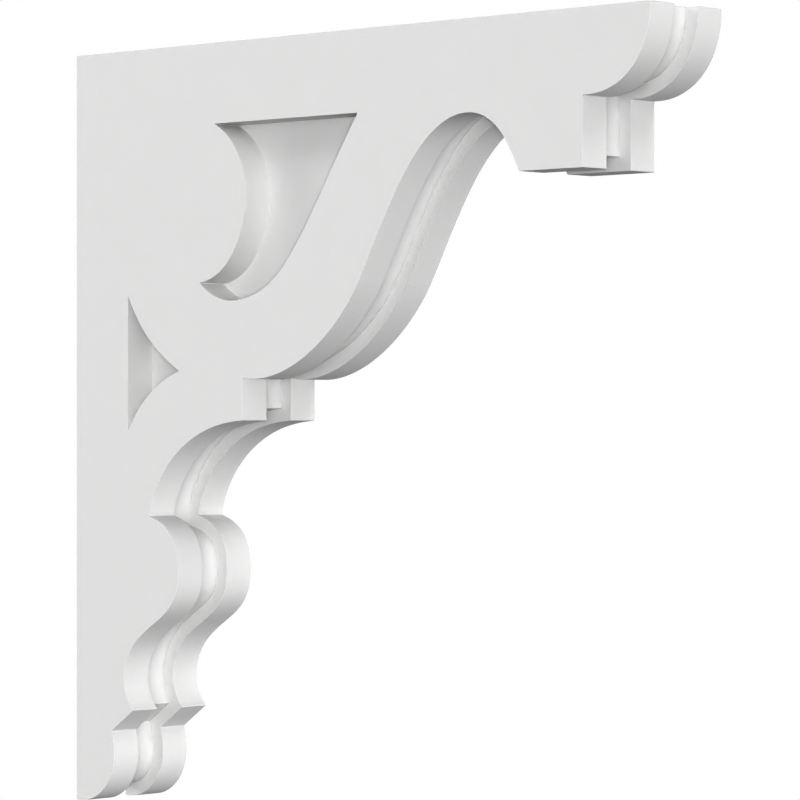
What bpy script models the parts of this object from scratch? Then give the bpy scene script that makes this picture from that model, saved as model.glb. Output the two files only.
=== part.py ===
"""Corbel for the foot of an eave or a shelf: three flat boards of white cellular plastic, glued face to face.

Frame: X runs out from the wall, Y runs across the corbel and Z is up. The origin is the centre of the flat
back face. Side views are drawn as pairs (out, up): the distance out from the wall and the height above the foot.

The two side boards carry the full outline and two openings. The core board between them has the same outline
set back along the front, and it closes the openings as flat-bottomed pockets.
"""
import math

import bmesh
import bpy
from mathutils import Vector
from mathutils.geometry import intersect_line_line_2d, tessellate_polygon

# Overall size
PROJECTION = 0.762
HEIGHT = 0.762
WIDTH = 0.1016

# The boards: equal thickness, a glue line between them, and the core's setback behind the front edges
GLUE_LINE = 0.0003
BOARD = (WIDTH - 2 * GLUE_LINE) / 3
SETBACK = 0.0133

# Square lips along the front: the upper one hangs below the nose, the middle one ends the long belly
UPPER_LIP_OUT = 0.6827
UPPER_LIP_BACK = 0.6060
UPPER_LIP_TOP = 0.6824
UPPER_LIP_FOOT = 0.6168
MIDDLE_LIP_OUT = 0.2426
MIDDLE_LIP_TOP = 0.4301
MIDDLE_LIP_FOOT = 0.3881

# Nose: a quarter round from the top front corner down to a short flat above the upper lip
NOSE_END = 0.6882

# Long double curve: a round arch behind the upper lip, then a belly down to the middle lip
ARCH_CROWN = (0.5414, 0.6741)
TURNING_POINT = (0.3999, 0.5186)

# Lower front: a cove down to a sharp ledge, a rounded bulge, a hollow, an undercut slant and a bead at the foot
LEDGE = (0.1090, 0.2920)
BULGE_FRONT = (0.1511, 0.2360)
BULGE_END = (0.1123, 0.1821)
HOLLOW_BACK = (0.0713, 0.1247)
SLANT_TOP = (0.0849, 0.0954)
SLANT_FOOT = (0.0527, 0.0732)
BEAD_RADIUS = 0.0499
BEAD_CENTRE = (0.0068, BEAD_RADIUS)

# D-shaped opening: a flat top, a round left side, a round bottom and a nearly straight right side
D_TOP = 0.6817
D_TOP_LEFT = (0.2025, D_TOP)
D_TOP_RIGHT = (0.4001, D_TOP)
D_LEFT_FRONT = (0.2470, 0.6127)
D_CUSP = (0.1812, 0.5250)
D_BOTTOM = (0.2258, 0.5063)
D_RIGHT_FOOT = (0.3233, 0.5673)

# Arrow-shaped opening: an upright back edge and two curved sides that meet at a tip
ARROW_TOP = (0.0772, 0.5147)
ARROW_FOOT = (0.0772, 0.3768)
ARROW_TIP = (0.1523, 0.4377)

# Longest straight facet along a round stretch, and how near two points count as one
FACET = 0.006
SAME_POINT = 0.0001
SHARP_ANGLE = math.radians(25)

WHITE_PLASTIC = (0.74, 0.74, 0.735, 1.0)


def bend(start, leave, arrive, end):
    """Points along a smooth stretch that leaves start towards leave and comes into end from arrive."""
    corners = [Vector(point) for point in (start, leave, arrive, end)]
    reach = sum((b - a).length for a, b in zip(corners, corners[1:]))
    steps = math.ceil(reach / FACET)
    points = []
    for step in range(steps + 1):
        t = step / steps
        s = 1 - t
        point = s**3 * corners[0] + 3 * s * s * t * corners[1] + 3 * s * t * t * corners[2] + t**3 * corners[3]
        points.append((point.x, point.y))
    return points


def arc(centre, radius, first_degrees, last_degrees):
    """Points along a circle, counted in degrees from straight out towards up."""
    first, last = math.radians(first_degrees), math.radians(last_degrees)
    steps = math.ceil(abs(last - first) * radius / FACET)
    angles = [first + (last - first) * step / steps for step in range(steps + 1)]
    return [(centre[0] + radius * math.cos(angle), centre[1] + radius * math.sin(angle)) for angle in angles]


def chain(*stretches):
    """One run of points from stretches that follow each other, with shared end points kept once."""
    points = []
    for stretch in stretches:
        for point in stretch:
            if not points or math.dist(points[-1], point) > SAME_POINT:
                points.append(point)
    return points


def front_runs():
    """The front of a side board from the top down to the wall, as smooth runs that meet at sharp corners."""
    nose = bend((PROJECTION, HEIGHT), (PROJECTION, 0.712), (0.729, UPPER_LIP_TOP), (NOSE_END, UPPER_LIP_TOP))
    arch = bend((UPPER_LIP_BACK, UPPER_LIP_FOOT), (0.6006, 0.6252), (0.5843, ARCH_CROWN[1]), ARCH_CROWN)
    fall = bend(ARCH_CROWN, (0.4748, ARCH_CROWN[1]), (0.4336, 0.5747), TURNING_POINT)
    belly = bend(TURNING_POINT, (0.3673, 0.4667), (0.3015, 0.4207), (MIDDLE_LIP_OUT, MIDDLE_LIP_TOP))
    cove = bend((MIDDLE_LIP_OUT, MIDDLE_LIP_FOOT), (0.1572, 0.3842), (0.1162, 0.3322), LEDGE)
    bulge_top = bend(LEDGE, (0.1283, 0.2862), (BULGE_FRONT[0], 0.2763), BULGE_FRONT)
    bulge_foot = bend(BULGE_FRONT, (BULGE_FRONT[0], 0.2039), (0.1281, 0.1918), BULGE_END)
    hollow_top = bend(BULGE_END, (0.0879, 0.1672), (HOLLOW_BACK[0], 0.1525), HOLLOW_BACK)
    hollow_foot = bend(HOLLOW_BACK, (HOLLOW_BACK[0], 0.1149), (0.0788, 0.1011), SLANT_TOP)
    bead_front = (BEAD_CENTRE[0] + BEAD_RADIUS, BEAD_CENTRE[1])
    bead_top = bend(SLANT_FOOT, (0.0553, 0.0660), (bead_front[0], 0.0582), bead_front)
    bead = arc(BEAD_CENTRE, BEAD_RADIUS, 0, -90)
    return [
        chain(nose, [(UPPER_LIP_OUT, UPPER_LIP_TOP)]),
        [(UPPER_LIP_OUT, UPPER_LIP_TOP), (UPPER_LIP_OUT, UPPER_LIP_FOOT)],
        [(UPPER_LIP_OUT, UPPER_LIP_FOOT), (UPPER_LIP_BACK, UPPER_LIP_FOOT)],
        chain(arch, fall, belly),
        [(MIDDLE_LIP_OUT, MIDDLE_LIP_TOP), (MIDDLE_LIP_OUT, MIDDLE_LIP_FOOT)],
        cove,
        chain(bulge_top, bulge_foot, hollow_top, hollow_foot),
        [SLANT_TOP, SLANT_FOOT],
        chain(bead_top, bead, [(0.0, 0.0)]),
    ]


def move_inward(run, distance):
    """The run moved into the board by distance, square to itself."""
    points = [Vector(point) for point in run]
    ways = [(b - a).normalized() for a, b in zip(points, points[1:])]
    inward = [Vector((way.y, -way.x)) for way in ways]
    moved = []
    for index, point in enumerate(points):
        before = inward[max(index - 1, 0)]
        after = inward[min(index, len(inward) - 1)]
        moved.append(point + distance * (before + after) / (1 + before.dot(after)))
    return moved


def lengthen(run, at_start, at_end):
    """The run with straight tails added along its end directions, long enough to cross its neighbours."""
    tail = 3 * SETBACK
    before = [run[0] + tail * (run[0] - run[1]).normalized()] if at_start else []
    after = [run[-1] + tail * (run[-1] - run[-2]).normalized()] if at_end else []
    return before + run + after


def trim_pair(upper, lower):
    """Two runs cut back to the point where they cross: the end of the upper one and the start of the lower one."""
    for i in range(len(upper) - 1, 0, -1):
        for j in range(1, len(lower)):
            crossing = intersect_line_line_2d(upper[i - 1], upper[i], lower[j - 1], lower[j])
            if crossing:
                return upper[:i] + [crossing], [crossing] + lower[j:]
    raise ValueError("two neighbouring runs of the set-back front do not meet")


def set_back_front(distance):
    """The front line moved into the board by distance, with its corners kept sharp."""
    runs = [move_inward(run, distance) for run in front_runs()]
    last = len(runs) - 1
    runs = [lengthen(run, index > 0, index < last) for index, run in enumerate(runs)]
    for index in range(last):
        runs[index], runs[index + 1] = trim_pair(runs[index], runs[index + 1])
    return chain(*[[(point.x, point.y) for point in run] for run in runs])


def side_outline():
    """Closed outline of a side board: its front line, the flat back and the flat top."""
    return chain(*front_runs()) + [(0.0, HEIGHT)]


def core_outline():
    """Closed outline of the core: the set-back front line, level with the side boards at the top and the back."""
    line = set_back_front(SETBACK)
    line[0] = (PROJECTION - SETBACK, HEIGHT)
    return line + [(0.0, HEIGHT)]


def d_opening():
    """Closed outline of the D-shaped opening."""
    left_top = bend(D_TOP_LEFT, (0.2290, 0.6696), (D_LEFT_FRONT[0], 0.6423), D_LEFT_FRONT)
    left_foot = bend(D_LEFT_FRONT, (D_LEFT_FRONT[0], 0.5604), (0.2148, 0.5269), D_CUSP)
    bottom_left = bend(D_CUSP, (0.1927, 0.5159), (0.2066, D_BOTTOM[1]), D_BOTTOM)
    bottom_right = bend(D_BOTTOM, (0.2784, D_BOTTOM[1]), (0.3024, 0.5400), D_RIGHT_FOOT)
    right = bend(D_RIGHT_FOOT, (0.3366, 0.5846), (0.3752, 0.6470), D_TOP_RIGHT)
    return chain(left_top, left_foot, bottom_left, bottom_right, right)


def arrow_opening():
    """Closed outline of the arrow-shaped opening."""
    upper = bend(ARROW_TOP, (0.0911, 0.4881), (0.1070, 0.4629), ARROW_TIP)
    lower = bend(ARROW_TIP, (0.1185, 0.4281), (0.0912, 0.4040), ARROW_FOOT)
    return chain(upper, lower)


def plastic(name):
    """A matt white plastic finish."""
    material = bpy.data.materials.new(name)
    material.use_nodes = True
    shader = material.node_tree.nodes["Principled BSDF"]
    shader.inputs["Base Color"].default_value = WHITE_PLASTIC
    shader.inputs["Roughness"].default_value = 0.5
    shader.inputs["Metallic"].default_value = 0.0
    material.diffuse_color = WHITE_PLASTIC
    return material


def make_board(name, outline, openings, middle):
    """A flat board with its middle plane at middle across the corbel, and openings cut right through it."""
    loops = [outline] + openings
    triangles = tessellate_polygon([[Vector((out, up, 0)) for out, up in loop] for loop in loops])
    bm = bmesh.new()
    faces = []
    for across in (-BOARD / 2, BOARD / 2):
        rings = [[bm.verts.new((out, across, up - HEIGHT / 2)) for out, up in loop] for loop in loops]
        corners = [vert for ring in rings for vert in ring]
        for triangle in triangles:
            bm.faces.new([corners[number] for number in triangle])
        faces.append(rings)
    for near_ring, far_ring in zip(*faces):
        for index, near in enumerate(near_ring):
            following = (index + 1) % len(near_ring)
            bm.faces.new((near, near_ring[following], far_ring[following], far_ring[index]))
    bmesh.ops.recalc_face_normals(bm, faces=bm.faces)
    mesh = bpy.data.meshes.new(name)
    bm.to_mesh(mesh)
    bm.free()
    mesh.shade_smooth()
    mesh.set_sharp_from_angle(angle=SHARP_ANGLE)
    mesh.materials.append(plastic(name + "_plastic"))
    board = bpy.data.objects.new(name, mesh)
    board.location = (0, middle, 0)
    bpy.context.scene.collection.objects.link(board)
    return board


def main():
    """Clears the scene and builds the three boards side by side."""
    for old in list(bpy.data.objects):
        bpy.data.objects.remove(old, do_unlink=True)
    pitch = BOARD + GLUE_LINE
    openings = [d_opening(), arrow_opening()]
    make_board("left_side_board", side_outline(), openings, -pitch)
    make_board("core_board", core_outline(), [], 0.0)
    make_board("right_side_board", side_outline(), openings, pitch)


main()
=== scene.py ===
"""Looks of the corbel: three routed boards of white cellular plastic, in soft light over a plain pale floor."""

import math

import bmesh
import bpy
from mathutils import Matrix, Vector
from mathutils.geometry import tessellate_polygon


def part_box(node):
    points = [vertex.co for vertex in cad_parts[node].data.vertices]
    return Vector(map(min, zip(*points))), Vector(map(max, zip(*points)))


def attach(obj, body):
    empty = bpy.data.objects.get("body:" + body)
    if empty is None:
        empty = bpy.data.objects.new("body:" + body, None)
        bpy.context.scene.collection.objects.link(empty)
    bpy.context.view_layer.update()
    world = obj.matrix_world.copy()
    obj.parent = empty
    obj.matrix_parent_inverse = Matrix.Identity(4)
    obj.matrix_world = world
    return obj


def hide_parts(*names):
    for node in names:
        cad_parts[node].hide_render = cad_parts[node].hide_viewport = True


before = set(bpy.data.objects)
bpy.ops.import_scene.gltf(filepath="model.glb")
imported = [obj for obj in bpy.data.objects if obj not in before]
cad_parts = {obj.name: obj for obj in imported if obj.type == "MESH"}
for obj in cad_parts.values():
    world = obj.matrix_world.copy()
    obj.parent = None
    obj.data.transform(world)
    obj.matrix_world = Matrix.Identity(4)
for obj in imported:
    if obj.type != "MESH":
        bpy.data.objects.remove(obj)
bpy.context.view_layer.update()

# Camera: level, a little above the middle of the corbel, looking at its left side and its front
CAMERA_PLACE = (2.96308, -2.70461, 0.00325)
CAMERA_AZIMUTH = math.radians(43.373)
IMAGE_SIDE_PX = 800
FOCAL_LENGTH_PX = 3867.2
OPTICAL_AXIS_ROW_PX = 424.55
SENSOR_MM = 36.0

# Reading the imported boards: how near two points count as one, the normal that marks the left face,
# the turn that makes a corner, and the longest facet of a round stretch
WELD = 0.00002
LEFTWARD = -0.9
CORNER = math.radians(20)
LONGEST_FACET = 0.009

# Finer outline: the longest piece of a round stretch, the radius of an eased corner, and the share of the
# shorter side beside the corner that its arc may take
FINE = 0.0018
CORNER_RADIUS = 0.0008
CORNER_SHARE = 0.9
CORNER_STEPS = 4

# A board's long edges: the radius of the easing, and how far the face beside them stands beyond the packed
# board. A glued face fills half of the gap that stands in for a glue line, so that neighbouring boards meet.
FREE_EDGE = (0.0002, 0.0)
GLUED_EDGE = (0.00012, 0.00015)
EDGE_STEPS = 3
FLAT_FACE_WEIGHT = 80

# Each board with its left and its right long edges
BOARDS = {
    "left_side_board": (FREE_EDGE, GLUED_EDGE),
    "core_board": (GLUED_EDGE, GLUED_EDGE),
    "right_side_board": (GLUED_EDGE, FREE_EDGE),
}

# Material: two tints that mix in soft patches, the grain of the skin, and the router marks and pores of the
# cut edges. Heights are in metres, strengths are those of the bumps.
DARKER_WHITE = (0.692, 0.692, 0.690, 1)
LIGHTER_WHITE = (0.708, 0.708, 0.706, 1)
PATCH_SCALE = 22.0
GRAIN_SCALE = 900.0
GRAIN_HEIGHT = 0.00004
GRAIN_STRENGTH = 0.12
MARK_SCALE = 110.0
MARK_HEIGHT = 0.00003
MARK_STRENGTH = 0.10
PORE_SCALE = 1400.0
PORE_REACH = 0.35
PORE_HEIGHT = 0.00005
PORE_STRENGTH = 0.25
SKIN_ROUGHNESS = 0.46
CUT_ROUGHNESS = 0.62
REFRACTION = 1.5
SHINE = 0.15

# Stage: a floor that turns white towards its rim, and a white backdrop beyond it
FLOOR_LEVEL = -3.0
FLOOR_RADIUS = 26.0
FLOOR_FADE_START = 8.0
FLOOR_GREY = 0.75
BACKDROP_RADIUS = 40.0

# Soft lights from far away: name, azimuth and elevation in degrees, and strength. At azimuth 0 a light shines
# on the left side board, and at 90 on the front. Each looks LIGHT_SPREAD degrees wide from the corbel.
LIGHTS = (
    ("high on the wall side", -75, 50, 0.83),
    ("on the wall side", -75, 25, 1.94),
    ("upper left", 0, 50, 0.25),
    ("beside the camera", 40, 0, 0.86),
    ("above the camera", 60, 25, 0.34),
    ("low front", 100, -25, 0.70),
    ("high front", 100, 50, 0.84),
    ("on the right side board", 190, 0, 1.40),
)
LIGHT_SPREAD = 25
LIGHT_ALL_ROUND = 0.358

# Key: a small lamp at the camera, so that the camera hardly sees its shadows
KEY_POWER = 5.2
KEY_RADIUS = 0.15

# Contrast: display values are raised to the power 1 / DISPLAY_GAMMA, which gives the photograph's tones
DISPLAY_GAMMA = 0.5556


def board_loops(node):
    """Outline loops of a packed board's left face as (out, up) points, each with the material on its left."""
    bm = bmesh.new()
    bm.from_mesh(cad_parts[node].data)
    bmesh.ops.remove_doubles(bm, verts=bm.verts, dist=WELD)
    bm.normal_update()
    following = {}
    for face in bm.faces:
        if face.normal.y > LEFTWARD:
            continue
        for corner in face.loops:
            if any(other.normal.y > LEFTWARD for other in corner.edge.link_faces):
                following[corner.vert.index] = corner.link_loop_next.vert.index
    bm.verts.ensure_lookup_table()
    loops = []
    while following:
        index = next(iter(following))
        loop = []
        while index in following:
            place = bm.verts[index].co
            loop.append(Vector((place.x, place.z)))
            index = following.pop(index)
        loops.append(loop)
    bm.free()
    return sorted(loops, key=len, reverse=True)


def turn_at(before, here, after):
    """Signed turn of a line at a point, to the left positive."""
    arriving = here - before
    leaving = after - here
    return math.atan2(arriving.x * leaving.y - arriving.y * leaving.x, arriving.dot(leaving))


def way_through(loop, index, along):
    """Direction of the outline at a point of the facet that runs along: the facet's own where it starts or ends
    at a corner or is straight, that of a straight neighbour, or else between the two facets there."""
    before, here, after = loop[index - 1], loop[index], loop[(index + 1) % len(loop)]
    arriving = here - before
    leaving = after - here
    if abs(turn_at(before, here, after)) > CORNER or along.length > LONGEST_FACET:
        return along.normalized()
    if arriving.length > LONGEST_FACET:
        return arriving.normalized()
    if leaving.length > LONGEST_FACET:
        return leaving.normalized()
    return (arriving.normalized() * leaving.length + leaving.normalized() * arriving.length).normalized()


def finer(loop):
    """The loop with a smooth curve through the points of its round stretches, and its corners kept."""
    points = []
    for index, start in enumerate(loop):
        following = (index + 1) % len(loop)
        along = loop[following] - start
        leave = way_through(loop, index, along) * along.length
        arrive = way_through(loop, following, along) * along.length
        steps = 1 if along.length > LONGEST_FACET else math.ceil(along.length / FINE)
        for step in range(steps):
            t = step / steps
            points.append(
                start
                + along * t * t * (3 - 2 * t)
                + leave * t * (1 - t) ** 2
                - arrive * t * t * (1 - t)
            )
    return points


def eased(loop):
    """The loop with each corner turned into a small arc."""
    points = []
    for index, corner in enumerate(loop):
        before, after = loop[index - 1], loop[(index + 1) % len(loop)]
        turn = turn_at(before, corner, after)
        if abs(turn) < CORNER:
            points.append(corner)
            continue
        tangent = math.tan(abs(turn) / 2)
        room = CORNER_SHARE * min((corner - before).length, (after - corner).length)
        radius = min(CORNER_RADIUS, room / tangent)
        arriving = (corner - before).normalized()
        start = corner - arriving * radius * tangent
        centre = start + Vector((-arriving.y, arriving.x)) * math.copysign(radius, turn)
        for step in range(CORNER_STEPS + 1):
            points.append(centre + Matrix.Rotation(turn * step / CORNER_STEPS, 2) @ (start - centre))
    return points


def into_board(loop, distance):
    """The loop moved by distance to its left, which is into the board."""
    moved = []
    for index, here in enumerate(loop):
        arriving = (here - loop[index - 1]).normalized()
        leaving = (loop[(index + 1) % len(loop)] - here).normalized()
        left = Vector((-arriving.y - leaving.y, arriving.x + leaving.x))
        moved.append(here + distance * left / (1 + arriving.dot(leaving)))
    return moved


def edge_profile(face, inward, radius):
    """Rows (across, depth, on_cut) round a long edge, from the flat face with on_cut 0 to the cut edge."""
    points = []
    for step in range(EDGE_STEPS + 1):
        angle = math.radians(90) * step / EDGE_STEPS
        across = face + inward * radius * (1 - math.cos(angle))
        points.append((across, radius * (1 - math.sin(angle)), 0.0 if step == 0 else 1.0))
    return points


def make_board(node, left_edge, right_edge):
    """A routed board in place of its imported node: the same outline, drawn finer and with eased edges."""
    low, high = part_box(node)
    loops = [eased(finer(loop)) for loop in board_loops(node)]
    left_radius, left_reach = left_edge
    right_radius, right_reach = right_edge
    left_profile = edge_profile(low.y - left_reach, 1, left_radius)
    right_profile = edge_profile(high.y + right_reach, -1, right_radius)
    profile = left_profile + right_profile[::-1]

    bm = bmesh.new()
    run = bm.loops.layers.uv.new("run")
    cut = bm.verts.layers.float.new("cut")
    rims = []
    for loop in loops:
        rings = []
        for across, depth, on_cut in profile:
            ring = [bm.verts.new((out, across, up)) for out, up in into_board(loop, depth)]
            for vert in ring:
                vert[cut] = on_cut
            rings.append(ring)
        lengths = [0.0]
        for index in range(len(loop)):
            lengths.append(lengths[-1] + (loop[(index + 1) % len(loop)] - loop[index]).length)
        for ring, other, (across, _, _), (beyond, _, _) in zip(rings, rings[1:], profile, profile[1:]):
            for index in range(len(ring)):
                following = (index + 1) % len(ring)
                face = bm.faces.new((ring[index], ring[following], other[following], other[index]))
                marks = [
                    (lengths[index], across), (lengths[index + 1], across),
                    (lengths[index + 1], beyond), (lengths[index], beyond),
                ]
                for corner, mark in zip(face.loops, marks):
                    corner[run].uv = mark
        rims.append((rings[0], rings[-1]))
    for side in (0, 1):
        verts = [vert for rim in rims for vert in rim[side]]
        flat = [[Vector((vert.co.x, vert.co.z, 0)) for vert in rim[side]] for rim in rims]
        for triangle in tessellate_polygon(flat):
            face = bm.faces.new([verts[number] for number in triangle])
            for corner in face.loops:
                corner[run].uv = (corner.vert.co.x, corner.vert.co.z)
    bmesh.ops.recalc_face_normals(bm, faces=bm.faces)
    mesh = bpy.data.meshes.new(node + "_routed")
    bm.to_mesh(mesh)
    bm.free()
    mesh.shade_smooth()
    mesh.materials.append(plastic)
    board = bpy.data.objects.new(node + "_routed", mesh)
    bpy.context.scene.collection.objects.link(board)
    weighted = board.modifiers.new("flat faces stay flat", "WEIGHTED_NORMAL")
    weighted.mode = "FACE_AREA"
    weighted.weight = FLAT_FACE_WEIGHT
    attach(board, "root")
    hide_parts(node)


def new_material(name):
    """A node material with its tree, its shader and a helper to add and set nodes."""
    material = bpy.data.materials.new(name)
    material.use_nodes = True
    tree = material.node_tree

    def add(kind, **settings):
        node = tree.nodes.new(kind)
        for key, value in settings.items():
            if key in node.inputs:
                node.inputs[key].default_value = value
            else:
                setattr(node, key, value)
        return node

    return material, tree, tree.nodes["Principled BSDF"], add


def make_plastic():
    """White cellular plastic: a smooth matt skin on flat faces, fine pores and router marks on cut edges."""
    material, tree, shader, add = new_material("white_cellular_plastic")
    link = tree.links.new
    place = add("ShaderNodeTexCoord").outputs["Object"]
    along = add("ShaderNodeUVMap", uv_map="run").outputs["UV"]
    cut = add("ShaderNodeAttribute", attribute_name="cut").outputs["Fac"]

    mottle = add("ShaderNodeTexNoise", Scale=PATCH_SCALE, Detail=4.0, Roughness=0.6)
    link(place, mottle.inputs["Vector"])
    tint = add("ShaderNodeMix", data_type="RGBA")
    tint.inputs["A"].default_value = DARKER_WHITE
    tint.inputs["B"].default_value = LIGHTER_WHITE
    link(mottle.outputs["Fac"], tint.inputs["Factor"])

    pores = add("ShaderNodeTexVoronoi", Scale=PORE_SCALE, feature="F1")
    link(place, pores.inputs["Vector"])
    pore_depth = add("ShaderNodeMapRange")
    pore_depth.inputs["From Max"].default_value = PORE_REACH
    link(pores.outputs["Distance"], pore_depth.inputs["Value"])

    marks = add("ShaderNodeTexWave", Scale=MARK_SCALE, Distortion=0.6, Detail=1.0, bands_direction="X")
    link(along, marks.inputs["Vector"])

    grain = add("ShaderNodeTexNoise", Scale=GRAIN_SCALE, Detail=3.0)
    link(place, grain.inputs["Vector"])

    skin_bump = add("ShaderNodeBump", Strength=GRAIN_STRENGTH, Distance=GRAIN_HEIGHT)
    link(grain.outputs["Fac"], skin_bump.inputs["Height"])
    mark_strength = add("ShaderNodeMath", operation="MULTIPLY")
    mark_strength.inputs[1].default_value = MARK_STRENGTH
    link(cut, mark_strength.inputs[0])
    mark_bump = add("ShaderNodeBump", Distance=MARK_HEIGHT)
    link(mark_strength.outputs[0], mark_bump.inputs["Strength"])
    link(marks.outputs["Fac"], mark_bump.inputs["Height"])
    link(skin_bump.outputs["Normal"], mark_bump.inputs["Normal"])
    pore_strength = add("ShaderNodeMath", operation="MULTIPLY")
    pore_strength.inputs[1].default_value = PORE_STRENGTH
    link(cut, pore_strength.inputs[0])
    pore_bump = add("ShaderNodeBump", Distance=PORE_HEIGHT)
    link(pore_strength.outputs[0], pore_bump.inputs["Strength"])
    link(pore_depth.outputs["Result"], pore_bump.inputs["Height"])
    link(mark_bump.outputs["Normal"], pore_bump.inputs["Normal"])
    link(pore_bump.outputs["Normal"], shader.inputs["Normal"])

    link(tint.outputs["Result"], shader.inputs["Base Color"])
    rough = add("ShaderNodeMapRange")
    rough.inputs["To Min"].default_value = SKIN_ROUGHNESS
    rough.inputs["To Max"].default_value = CUT_ROUGHNESS
    link(cut, rough.inputs["Value"])
    link(rough.outputs["Result"], shader.inputs["Roughness"])
    shader.inputs["IOR"].default_value = REFRACTION
    shader.inputs["Specular IOR Level"].default_value = SHINE
    return material


def only_seen(thing):
    """Keeps a piece of the stage out of the light that falls on the corbel."""
    thing.visible_diffuse = False
    thing.visible_glossy = False
    thing.visible_transmission = False
    thing.visible_shadow = False


def add_stage():
    """A pale floor well below the corbel, which hangs on its wall face, and a plain white backdrop."""
    material, tree, shader, add = new_material("pale_floor")
    place = add("ShaderNodeTexCoord").outputs["Object"]
    outward = add("ShaderNodeVectorMath", operation="LENGTH")
    tree.links.new(place, outward.inputs[0])
    fade = add("ShaderNodeMapRange", interpolation_type="SMOOTHSTEP")
    fade.inputs["From Min"].default_value = FLOOR_FADE_START
    fade.inputs["From Max"].default_value = FLOOR_RADIUS
    tree.links.new(outward.outputs["Value"], fade.inputs["Value"])
    tree.links.new(fade.outputs["Result"], shader.inputs["Emission Strength"])
    shade = add("ShaderNodeMapRange")
    shade.inputs["To Min"].default_value = FLOOR_GREY
    shade.inputs["To Max"].default_value = 0.0
    tree.links.new(fade.outputs["Result"], shade.inputs["Value"])
    tree.links.new(shade.outputs["Result"], shader.inputs["Base Color"])
    shader.inputs["Emission Color"].default_value = (1, 1, 1, 1)
    shader.inputs["Specular IOR Level"].default_value = 0.0
    bpy.ops.mesh.primitive_circle_add(vertices=128, radius=FLOOR_RADIUS, fill_type="TRIFAN")
    floor = bpy.context.object
    floor.name = "floor"
    floor.location = (0, 0, FLOOR_LEVEL)
    floor.data.materials.append(material)
    only_seen(floor)

    material, _, shader, _ = new_material("white_backdrop")
    shader.inputs["Base Color"].default_value = (0, 0, 0, 1)
    shader.inputs["Specular IOR Level"].default_value = 0.0
    shader.inputs["Emission Color"].default_value = (1, 1, 1, 1)
    shader.inputs["Emission Strength"].default_value = 1.0
    bpy.ops.mesh.primitive_uv_sphere_add(segments=64, ring_count=32, radius=BACKDROP_RADIUS)
    backdrop = bpy.context.object
    backdrop.name = "backdrop"
    backdrop.data.materials.append(material)
    only_seen(backdrop)


def add_camera():
    """The photograph's view."""
    data = bpy.data.cameras.new("camera")
    data.sensor_width = SENSOR_MM
    data.lens = SENSOR_MM * FOCAL_LENGTH_PX / IMAGE_SIDE_PX
    data.shift_y = (OPTICAL_AXIS_ROW_PX - IMAGE_SIDE_PX / 2) / IMAGE_SIDE_PX
    data.clip_end = 1.5 * BACKDROP_RADIUS
    camera = bpy.data.objects.new("camera", data)
    camera.location = CAMERA_PLACE
    camera.rotation_euler = (math.radians(90), 0, CAMERA_AZIMUTH)
    bpy.context.scene.collection.objects.link(camera)
    bpy.context.scene.camera = camera


def add_sun(name, azimuth, elevation, strength):
    """A soft light from far away."""
    data = bpy.data.lights.new(name, "SUN")
    data.energy = strength
    data.angle = math.radians(LIGHT_SPREAD)
    light = bpy.data.objects.new(name, data)
    light.rotation_euler = (math.radians(90 - elevation), 0, math.radians(azimuth))
    bpy.context.scene.collection.objects.link(light)


def add_key():
    """The lamp at the camera. Its strength grows with distance, so that a flat face is lit evenly."""
    data = bpy.data.lights.new("key", "POINT")
    data.energy = KEY_POWER
    data.shadow_soft_size = KEY_RADIUS
    data.use_nodes = True
    tree = data.node_tree
    falloff = tree.nodes.new("ShaderNodeLightFalloff")
    falloff.inputs["Strength"].default_value = 1.0
    path = tree.nodes.new("ShaderNodeLightPath")
    growing = tree.nodes.new("ShaderNodeMath")
    growing.operation = "MULTIPLY"
    tree.links.new(falloff.outputs["Constant"], growing.inputs[0])
    tree.links.new(path.outputs["Ray Length"], growing.inputs[1])
    tree.links.new(growing.outputs[0], tree.nodes["Emission"].inputs["Strength"])
    light = bpy.data.objects.new("key", data)
    light.location = CAMERA_PLACE
    bpy.context.scene.collection.objects.link(light)


def add_world(strength):
    """Even light from all round."""
    world = bpy.data.worlds.new("studio")
    world.use_nodes = True
    background = world.node_tree.nodes["Background"]
    background.inputs["Color"].default_value = (1, 1, 1, 1)
    background.inputs["Strength"].default_value = strength
    bpy.context.scene.world = world


plastic = make_plastic()
for board_node, long_edges in BOARDS.items():
    make_board(board_node, *long_edges)
add_stage()
add_camera()
for light in LIGHTS:
    add_sun(*light)
add_key()
add_world(LIGHT_ALL_ROUND)
bpy.context.scene.view_settings.view_transform = "Standard"
bpy.context.scene.view_settings.gamma = DISPLAY_GAMMA
